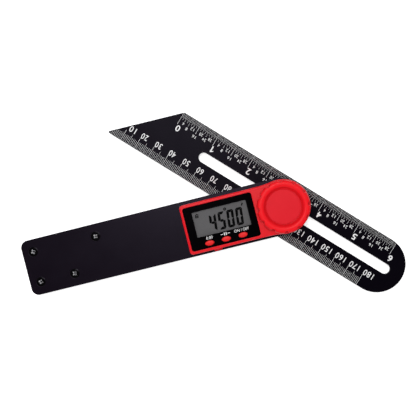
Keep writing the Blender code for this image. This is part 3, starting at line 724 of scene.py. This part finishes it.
above = 18 * mm
below_shelf = 14 * mm
below = 7 * mm
case = thicken(housing_outline(), housing_bottom, housing_top)
ease(case, outer_round, 5, 60, at_housing_top)
case = carve(case, thicken(housing_outline(housing_wall), below, shelf_bottom))
case = carve(case, rounded_panel(window_far, window_near, window_low, window_high,
                                 window_corner, shelf_top, above))
ease(case, window_round, 2, 60, at_housing_top)
display_opening = rounded_panel(-55.3 * mm, -20.0 * mm, -6.9 * mm, 10.5 * mm, opening_corner,
                                below_shelf, above)
case = carve(case, display_opening)
for x, y in button_places:
    case = carve(case, oval(key_opening_length, key_opening_width, below_shelf, above,
                            (x * mm, y * mm)))
case = carve(case, pin(stud_opening_radius, below_shelf, above))
drawer_mouth = rounded_panel(-55.6 * mm, -32.6 * mm, -17 * mm, -13 * mm, opening_corner, below,
                             11.9 * mm)
case = carve(case, drawer_mouth)
bosses = [(place, housing_boss_foot) for place in housing_boss_places]
bosses += [(place, board_boss_foot) for place in board_boss_places]
for (x, y), foot in bosses:
    case = carve(case, turned([
        (boss_bore, boss_top), (boss_radius, boss_top), (boss_radius, foot),
        (boss_bore, foot), (boss_bore, boss_top)], 32, (x * mm, y * mm)), "UNION")
piece("display_case", case, moulded_red, "handle", ["display_housing"])
refinish(plated_steel, "housing_screw_1", "housing_screw_2", "housing_screw_3",
         "housing_screw_4")

# Window panel
# A sheet of acrylic, printed gloss black on its underside and die-cut round the display and
# the buttons, with a clear acrylic window let in over the display. It is glued on the
# housing's sunk shelf.
panel_bottom = 16.0 * mm
panel_top = 16.6 * mm
display_far = -54.3 * mm
display_near = -21.0 * mm
display_low = -5.9 * mm
display_high = 9.5 * mm
gloss_black = finish("gloss_black", (0.0008, 0.0006, 0.001), (0.0012, 0.0009, 0.0014),
                     (0.08, 0.14), 20 * mm, 2 * mm, 0.004 * mm, specular=0.04)
panel_play = 0.12 * mm
panel = rounded_panel(window_far + panel_play, window_near - panel_play,
                      window_low + panel_play, window_high - panel_play,
                      window_corner - panel_play, panel_bottom, panel_top)
panel_edge = 0.06 * mm
display_corner = 0.5 * mm
key_hole_length = 5.8 * mm
key_hole_width = 3.4 * mm
below = 15 * mm
panel = carve(panel, rounded_panel(display_far, display_near, display_low, display_high,
                                   display_corner, below, above))
for x, y in button_places:
    panel = carve(panel, oval(key_hole_length, key_hole_width, below, above,
                              (x * mm, y * mm)))
ease(panel, panel_edge, 1, 60)
piece("printed_panel", panel, gloss_black, "handle", ["window_panel"])

clear = bpy.data.materials.new("clear_acrylic")
clear.use_nodes = True
acrylic = clear.node_tree.nodes["Principled BSDF"]
acrylic.inputs["Base Color"].default_value = (0.002, 0.002, 0.002, 1)
acrylic.inputs["Roughness"].default_value = 0.04
acrylic.inputs["Alpha"].default_value = 0.1
scuffs = node(clear.node_tree, "ShaderNodeTexNoise", inputs={"Scale": 700.0})
place = node(clear.node_tree, "ShaderNodeTexCoord")
ripple = node(clear.node_tree, "ShaderNodeBump", inputs={
    "Strength": 0.4, "Distance": 0.002 * mm})
link(clear.node_tree, (place, "Object"), (scuffs, "Vector"))
link(clear.node_tree, (scuffs, 0), (ripple, "Height"))
link(clear.node_tree, (ripple, 0), (acrylic, "Normal"))
window_play = 0.05 * mm
window = rounded_panel(display_far + window_play, display_near - window_play,
                       display_low + window_play, display_high - window_play,
                       display_corner - window_play, panel_bottom, panel_top)
piece("clear_window", window, clear, "handle", ["lcd_window"])

# Display
# A twisted-nematic glass cell between polarisers: grey where it is clear, near black where a
# segment is on. It shows the angle in degrees and minutes, and a small battery mark.
glass_top = 15.6 * mm
cell_grey = finish("cell_grey", (0.148, 0.145, 0.150), (0.158, 0.155, 0.160), (0.16, 0.24),
                   30 * mm, 0.6 * mm, 0.001 * mm, specular=0.12)
segment_black = finish("segment_black", (0.0008, 0.0008, 0.001), (0.0014, 0.0014, 0.0016),
                       (0.3, 0.4), 5 * mm, 0.5 * mm, 0.001 * mm, specular=0.0)
refinish(cell_grey, "lcd_glass")
digit_width = 4.2 * mm
digit_height = 10.6 * mm
stroke = 1.5 * mm
segment_corner = 0.7 * mm
segment_gap = 0.06 * mm
slant = 0.095
segment_height = 0.02 * mm
marks = []


def bar(ax, ay, bx, by, width):
    """A small mark from one point to another, pointed at both ends."""
    length = math.hypot(bx - ax, by - ay)
    angle = math.atan2(by - ay, bx - ax)
    half = width / 2
    shape = thicken(trace(
        (-length / 2, 0), (half - length / 2, -half), (length / 2 - half, -half),
        (length / 2, 0), (length / 2 - half, half), (half - length / 2, half)),
        0, segment_height)
    shape.transform(Matrix.Translation(((ax + bx) / 2, (ay + by) / 2, 0)) @ Matrix.Rotation(
        angle, 4, "Z"))
    return shape


digit_side = digit_width / 2
digit_top = digit_height / 2
inner_side = digit_side - stroke
inner_top = digit_top - stroke
half_corner = segment_corner / 2

# The outlines of three segments about the digit's middle. The other four are these turned
# over sideways, upwards or both, by the -1s behind their names.
top_segment = (
    (segment_corner - digit_side, digit_top), (digit_side - segment_corner, digit_top),
    (digit_side - half_corner - segment_gap, digit_top - half_corner),
    (inner_side - segment_gap, inner_top), (segment_gap - inner_side, inner_top),
    (half_corner + segment_gap - digit_side, digit_top - half_corner))
right_segment = (
    (digit_side, segment_gap), (digit_side, digit_top - segment_corner - segment_gap),
    (digit_side - half_corner, digit_top - half_corner - segment_gap),
    (inner_side, inner_top - segment_gap), (inner_side, stroke / 2 + segment_gap),
    (digit_side - stroke / 2, segment_gap))
middle_segment = (
    (stroke / 2 + segment_gap - digit_side, 0), (2 * segment_gap - inner_side, -stroke / 2),
    (inner_side - 2 * segment_gap, -stroke / 2), (digit_side - stroke / 2 - segment_gap, 0),
    (inner_side - 2 * segment_gap, stroke / 2), (2 * segment_gap - inner_side, stroke / 2))
segment_shapes = {
    "a": (top_segment, 1, 1), "b": (right_segment, 1, 1), "c": (right_segment, 1, -1),
    "d": (top_segment, 1, -1), "e": (right_segment, -1, -1), "f": (right_segment, -1, 1),
    "g": (middle_segment, 1, 1)}
segments_on = {"0": "abcdef", "4": "fgbc", "5": "afgcd"}
reading = "4500"
digit_places = (-43.55, -38.12, -32.66, -27.23)
digit_foot = -4.6 * mm
for figure, x in zip(reading, digit_places):
    for segment in segments_on[figure]:
        outline, across, up = segment_shapes[segment]
        shape = thicken(trace(*[(px * across, py * up) for px, py in outline]),
                        0, segment_height)
        shape.transform(Matrix.Translation((x * mm, digit_top, 0)))
        marks.append(shape)
ring_inner = 0.3 * mm
ring_outer = 0.9 * mm
degree_place = (-35.45 * mm, 11.6 * mm)
degree_mark = turned([
    (ring_inner, 0), (ring_outer, 0), (ring_outer, segment_height),
    (ring_inner, segment_height), (ring_inner, 0)], 32, degree_place)
marks.append(degree_mark)
minute_foot = (-25.3 * mm, 11.0 * mm)
minute_head = (-24.3 * mm, 12.9 * mm)
minute_width = 0.8 * mm
marks.append(bar(*minute_foot, *minute_head, minute_width))

# The battery mark's outlines are in millimetres from its lower left corner.
battery_place = Matrix.Translation((-53.8 * mm, 10.3 * mm, 0)) @ Matrix.Diagonal(
    (mm, mm, segment_height, 1))
battery_mark = carve(
    thicken(trace((0, 0), (2.0, 0), (2.0, 2.1), (1.4, 2.1), (1.4, 2.45), (0.6, 2.45),
                  (0.6, 2.1), (0, 2.1)), 0, 1),
    thicken(trace((0.4, 0.4), (1.6, 0.4), (1.6, 1.7), (0.4, 1.7)), -1, 2))
charge_mark = thicken(trace((0.55, 0.55), (1.45, 0.55), (1.45, 1.2), (0.55, 1.2)), 0, 1)
for shape in (battery_mark, charge_mark):
    shape.transform(battery_place)
    marks.append(shape)
segments = joined(marks)

# The display leans to the right, by the slant for each unit of height.
segments.transform(Matrix.Translation((0, digit_foot, glass_top)) @ Matrix((
    (1, slant, 0, 0), (0, 1, 0, 0), (0, 0, 1, 0), (0, 0, 0, 1))))
piece("display_segments", segments, segment_black, "handle")

# Panel markings
# Small white marks printed above the buttons: 0.00 for setting zero, two bars between dashes
# for hold, and ON / OFF for the power.
panel_marks = []


def panel_print(shape, x, y):
    """Place a mark on the panel's face."""
    shape.transform(Matrix.Translation((x, y, panel_top + ink_height / 2)))
    panel_marks.append(shape)


def block(length, width):
    """A small rectangle of ink."""
    shape = bmesh.new()
    bmesh.ops.create_cube(shape, size=1, matrix=Matrix.Diagonal((length, width, ink_height, 1)))
    return shape


marking_row = -7.45 * mm
marking_height = 1.7 * mm
zero_middle = -47.4 * mm
zero_length = 3.9 * mm
hold_middle = -37.5 * mm
bar_aside = 0.55 * mm
bar_width = 0.5 * mm
dash_aside = 2.1 * mm
dash_length = 1.5 * mm
dash_width = 0.34 * mm
power_middle = -27.5 * mm
power_length = 9.0 * mm
panel_print(lettering("0.00", marking_height, zero_length), zero_middle, marking_row)
for aside in (-bar_aside, bar_aside):
    panel_print(block(bar_width, marking_height), hold_middle + aside, marking_row)
for aside in (-dash_aside, dash_aside):
    panel_print(block(dash_length, dash_width), hold_middle + aside, marking_row)
panel_print(lettering("ON / OFF", marking_height, power_length), power_middle, marking_row)
piece("panel_markings", joined(panel_marks), ink, "handle")

# Circuit board
# Glass-epoxy board in green mask with the controller under a blob of black resin, a striped
# rubber connector up to the display and three snap domes under the buttons.
solder_mask = finish("solder_mask", (0.008, 0.1, 0.04), (0.012, 0.13, 0.055), (0.3, 0.42),
                     6 * mm, 0.3 * mm, 0.006 * mm)
resin = finish("potting_resin", (0.008, 0.008, 0.008), (0.014, 0.014, 0.014), (0.2, 0.32),
               3 * mm, 0.5 * mm, 0.01 * mm)
rubber = finish("striped_rubber", (0.012, 0.012, 0.012), (0.05, 0.05, 0.05), (0.7, 0.85),
                0.4 * mm, 0.3 * mm, 0.01 * mm, stretch=(4, 1, 1))
refinish(solder_mask, "circuit_board", "encoder_rotor")
refinish(resin, "control_chip")
refinish(rubber, "contact_strip")
refinish(plated_steel, "board_screw_1", "board_screw_2", "key_dome_1", "key_dome_2",
         "key_dome_3", "battery_contact_plus", "battery_contact_minus")

# Buttons
# Three oval keys moulded in a brighter red, slightly crowned on top, each with a flange that
# keeps it under the shelf and a snap dome to return it.
key_red = finish("key_red", (0.68, 0.012, 0.012), (0.74, 0.017, 0.016), (0.35, 0.45),
                 4 * mm, 0.15 * mm, 0.005 * mm, specular=0.14)
button_bottom = 14.2 * mm
button_top = 17.2 * mm
key_length = 5.4 * mm
key_radius = 1.5 * mm
key_round = 0.4 * mm
flange_radius = 2.4 * mm
flange_top = button_bottom + 0.6 * mm


def curve_points(centre_radius, centre_height, radius, start, end, steps):
    """Points of a turned rounding, from one angle to another in degrees."""
    turns = [math.radians(start + (end - start) * step / steps) for step in range(steps + 1)]
    return [(centre_radius + radius * math.cos(turn), centre_height + radius * math.sin(turn))
            for turn in turns]


key_profile = (
    [(0, button_top), (0.7 * mm, button_top - 0.02 * mm), (1.0 * mm, button_top - 0.06 * mm)]
    + curve_points(key_radius - key_round, button_top - 0.5 * mm, key_round, 80, 0, 5)
    + [(key_radius, flange_top), (flange_radius, flange_top), (flange_radius, button_bottom),
       (0, button_bottom)])
for name, (x, y) in zip(("left_button", "middle_button", "right_button"), button_places):
    key = turned(key_profile, 96)
    key.transform(Matrix.Translation((x * mm, y * mm, 0)) @ Matrix.Diagonal(
        (key_length / 2 / key_radius, 1, 1, 1)))
    piece(name + "_key", key, key_red, name, [name])

# Battery tray
# Red moulded drawer with a round pocket for the coin cell. Its front closes the mouth in the
# housing's lower side and a grooved tab sticks out for a fingernail.
tray_middle = -44.1 * mm
tray_half = 11.3 * mm
tray_front = -15.1 * mm
tray_back = 7.5 * mm
tray_corner = 1.5 * mm
tray_top = 11.5 * mm
cell_middle = -3.8 * mm
pocket_radius = 10.2 * mm
pocket_floor = 8.3 * mm
pocket_mouth = 13 * mm
drawer_round = 0.15 * mm
tab_half = 2.4 * mm
tab_front = -16.8 * mm
tab_back = -14.5 * mm
tab_top = 11.1 * mm
tab_corner = 0.5 * mm
tab_round = 0.3 * mm
groove_size = (6 * mm, 0.24 * mm, 0.36 * mm, 1)
groove_places = (-16.35 * mm, -15.85 * mm)
drawer = rounded_panel(tray_middle - tray_half, tray_middle + tray_half, tray_front, tray_back,
                       tray_corner, housing_bottom, tray_top)
ease(drawer, drawer_round, 2, 60)
drawer = carve(drawer, pin(pocket_radius, pocket_floor, pocket_mouth,
                           (tray_middle, cell_middle), 96))
tab = rounded_panel(tray_middle - tab_half, tray_middle + tab_half, tab_front, tab_back,
                    tab_corner, pocket_floor, tab_top)
ease(tab, tab_round, 3, 60,
     lambda edge: min(end.co.z for end in edge.verts) > tab_top - 0.1 * mm)
for groove_place in groove_places:
    groove = bmesh.new()
    bmesh.ops.create_cube(groove, size=1, matrix=Matrix.Translation(
        (tray_middle, groove_place, tab_top)) @ Matrix.Diagonal(groove_size))
    tab = carve(tab, groove)
drawer = carve(drawer, tab, "UNION")
piece("battery_drawer", drawer, moulded_red, "battery_tray", ["battery_tray"])

# Coin cell
# A pressed steel can with a rolled rim, dished a little over its flat face, and a plus sign
# stamped in it. It drops into the drawer's pocket and rests on the floor.
can_steel = finish("can_steel", (0.2, 0.2, 0.21), (0.28, 0.28, 0.29), (0.25, 0.36),
                   2.5 * mm, 0.12 * mm, 0.002 * mm, metallic=1.0)
cell_radius = 10.0 * mm
cell_bottom = 8.31 * mm
cell_top = 11.51 * mm
face_height = cell_top - 0.12 * mm
face_radius = 8.6 * mm
rim_inner = 8.9 * mm
rim_round = 0.6 * mm
foot_round = 0.3 * mm
can = turned(
    [(0, face_height), (face_radius, face_height), (rim_inner, cell_top)]
    + curve_points(cell_radius - rim_round, cell_top - rim_round, rim_round, 90, 0, 6)
    + curve_points(cell_radius - foot_round, cell_bottom + foot_round, foot_round, 0, -90, 4)
    + [(0, cell_bottom)], 128)
plus_length = 5.0 * mm
plus_stroke = 0.9 * mm
stamp_height = 0.5 * mm
for length, width in ((plus_length, plus_stroke), (plus_stroke, plus_length)):
    stamp = bmesh.new()
    bmesh.ops.create_cube(stamp, size=1, matrix=Matrix.Translation((0, 0, face_height))
                          @ Matrix.Diagonal((length, width, stamp_height, 1)))
    can = carve(can, stamp)
can.transform(Matrix.Translation((tray_middle, cell_middle, 0)))
piece("coin_cell_can", can, can_steel, "battery_tray", ["coin_cell"])

# Lock knob
# Round knob moulded in red, with twelve shallow finger notches round its edge and a sunk
# face. A brass nut is pressed in from above and a disc snaps in over it.
knob_radius = 15.9 * mm
knob_bottom = 17.4 * mm
knob_top = 22.4 * mm
knob_shoulder = 1.9 * mm
lip_top = 13.3 * mm
recess_floor = 20.6 * mm
notch_count = 12
notch_half = 0.85 * mm
notch_floor = 14.5 * mm
notch_soft = 0.3 * mm
notch_slope = 2.2
notch_turn = math.radians(-6.5)
nut_bore = 4.7 * mm
disc_seat = 19.7 * mm
seat_radius = 10.42 * mm
lip_round = 2.38 * mm
hollow_round = 0.69 * mm
shade_bottom = 21.7 * mm
shade_top = 22.3 * mm
shade_share = 0.79
knob_red = finish("knob_red", (0.78, 0.003, 0.009), (0.84, 0.006, 0.013), (0.3, 0.38),
                  11 * mm, 0.2 * mm, 0.005 * mm, specular=0.12)


def deepen(material, low, high, share):
    """Paint shade: a finish's colour falls to a share of itself from one height down to another.
    """
    tree = material.node_tree
    colour = tree.nodes["Principled BSDF"].inputs["Base Color"]
    place = node(tree, "ShaderNodeTexCoord")
    height = node(tree, "ShaderNodeSeparateXYZ")
    fall = node(tree, "ShaderNodeMapRange", inputs={
        "From Min": low, "From Max": high, "To Min": share, "To Max": 1.0})
    painted_shade = node(tree, "ShaderNodeHueSaturation")
    tree.links.new(colour.links[0].from_socket, painted_shade.inputs["Color"])
    link(tree, (place, "Object"), (height, 0))
    link(tree, (height, "Z"), (fall, "Value"))
    link(tree, (fall, 0), (painted_shade, "Value"))
    tree.links.new(painted_shade.outputs[0], colour)


# Painted shade: the knob's red darkens from just under its top downwards, over the slope into the
# sunk face and down the knob's sides.
deepen(knob_red, shade_bottom, shade_top, shade_share)
knob_profile = (
    [(nut_bore, disc_seat), (seat_radius, disc_seat), (seat_radius, recess_floor - 0.1 * mm)]
    + curve_points(10.5 * mm, recess_floor + hollow_round, hollow_round, 270, 330, 5)
    + curve_points(lip_top, knob_top - lip_round, lip_round, 150, 90, 10)
    + curve_points(knob_radius - knob_shoulder, knob_top - knob_shoulder, knob_shoulder, 88, 0,
                   12)
    + [(knob_radius, 19.6 * mm), (knob_radius, 18.8 * mm), (knob_radius, 18.0 * mm)]
    + curve_points(knob_radius - foot_round, knob_bottom + foot_round, foot_round, 0, -90, 3)
    + [(nut_bore + 0.2 * mm, knob_bottom), (nut_bore, knob_bottom + 0.2 * mm),
       (nut_bore, disc_seat)]
)
knob = turned(knob_profile, 480)
pitch = 2 * math.pi / notch_count

# Points outside a notch's outline are drawn in to it, and the corner where notch and rim meet
# is softened.
for point in knob.verts:
    radius = math.hypot(point.co.x, point.co.y)
    angle = math.atan2(point.co.y, point.co.x) - notch_turn
    aside = radius * math.sin(abs(angle - round(angle / pitch) * pitch))
    limit = notch_floor + max(aside - notch_half, 0) * notch_slope
    if radius > notch_floor - notch_soft and limit < radius + notch_soft:
        blend = max(notch_soft - abs(radius - limit), 0) / notch_soft
        softened = min(radius, limit) - blend ** 2 * notch_soft / 4
        point.co.x *= softened / radius
        point.co.y *= softened / radius
piece("notched_knob", knob, knob_red, "lock_knob", ["lock_knob"], 50)
refinish(turned_brass, "knob_nut")

disc_red = finish("disc_red", (0.65, 0.006, 0.015), (0.70, 0.009, 0.02), (0.34, 0.42),
                  5 * mm, 0.35 * mm, 0.007 * mm, specular=0.1)
disc_radius = 10.35 * mm
disc_bottom = 20.0 * mm
disc_round = 0.2 * mm
disc = turned(
    [(0, recess_floor)]
    + curve_points(disc_radius - disc_round, recess_floor - disc_round, disc_round, 90, 0, 4)
    + [(disc_radius, disc_bottom), (0, disc_bottom)], 128)
piece("knob_disc", disc, disc_red, "lock_knob", ["knob_cap"])

bpy.context.view_layer.update()
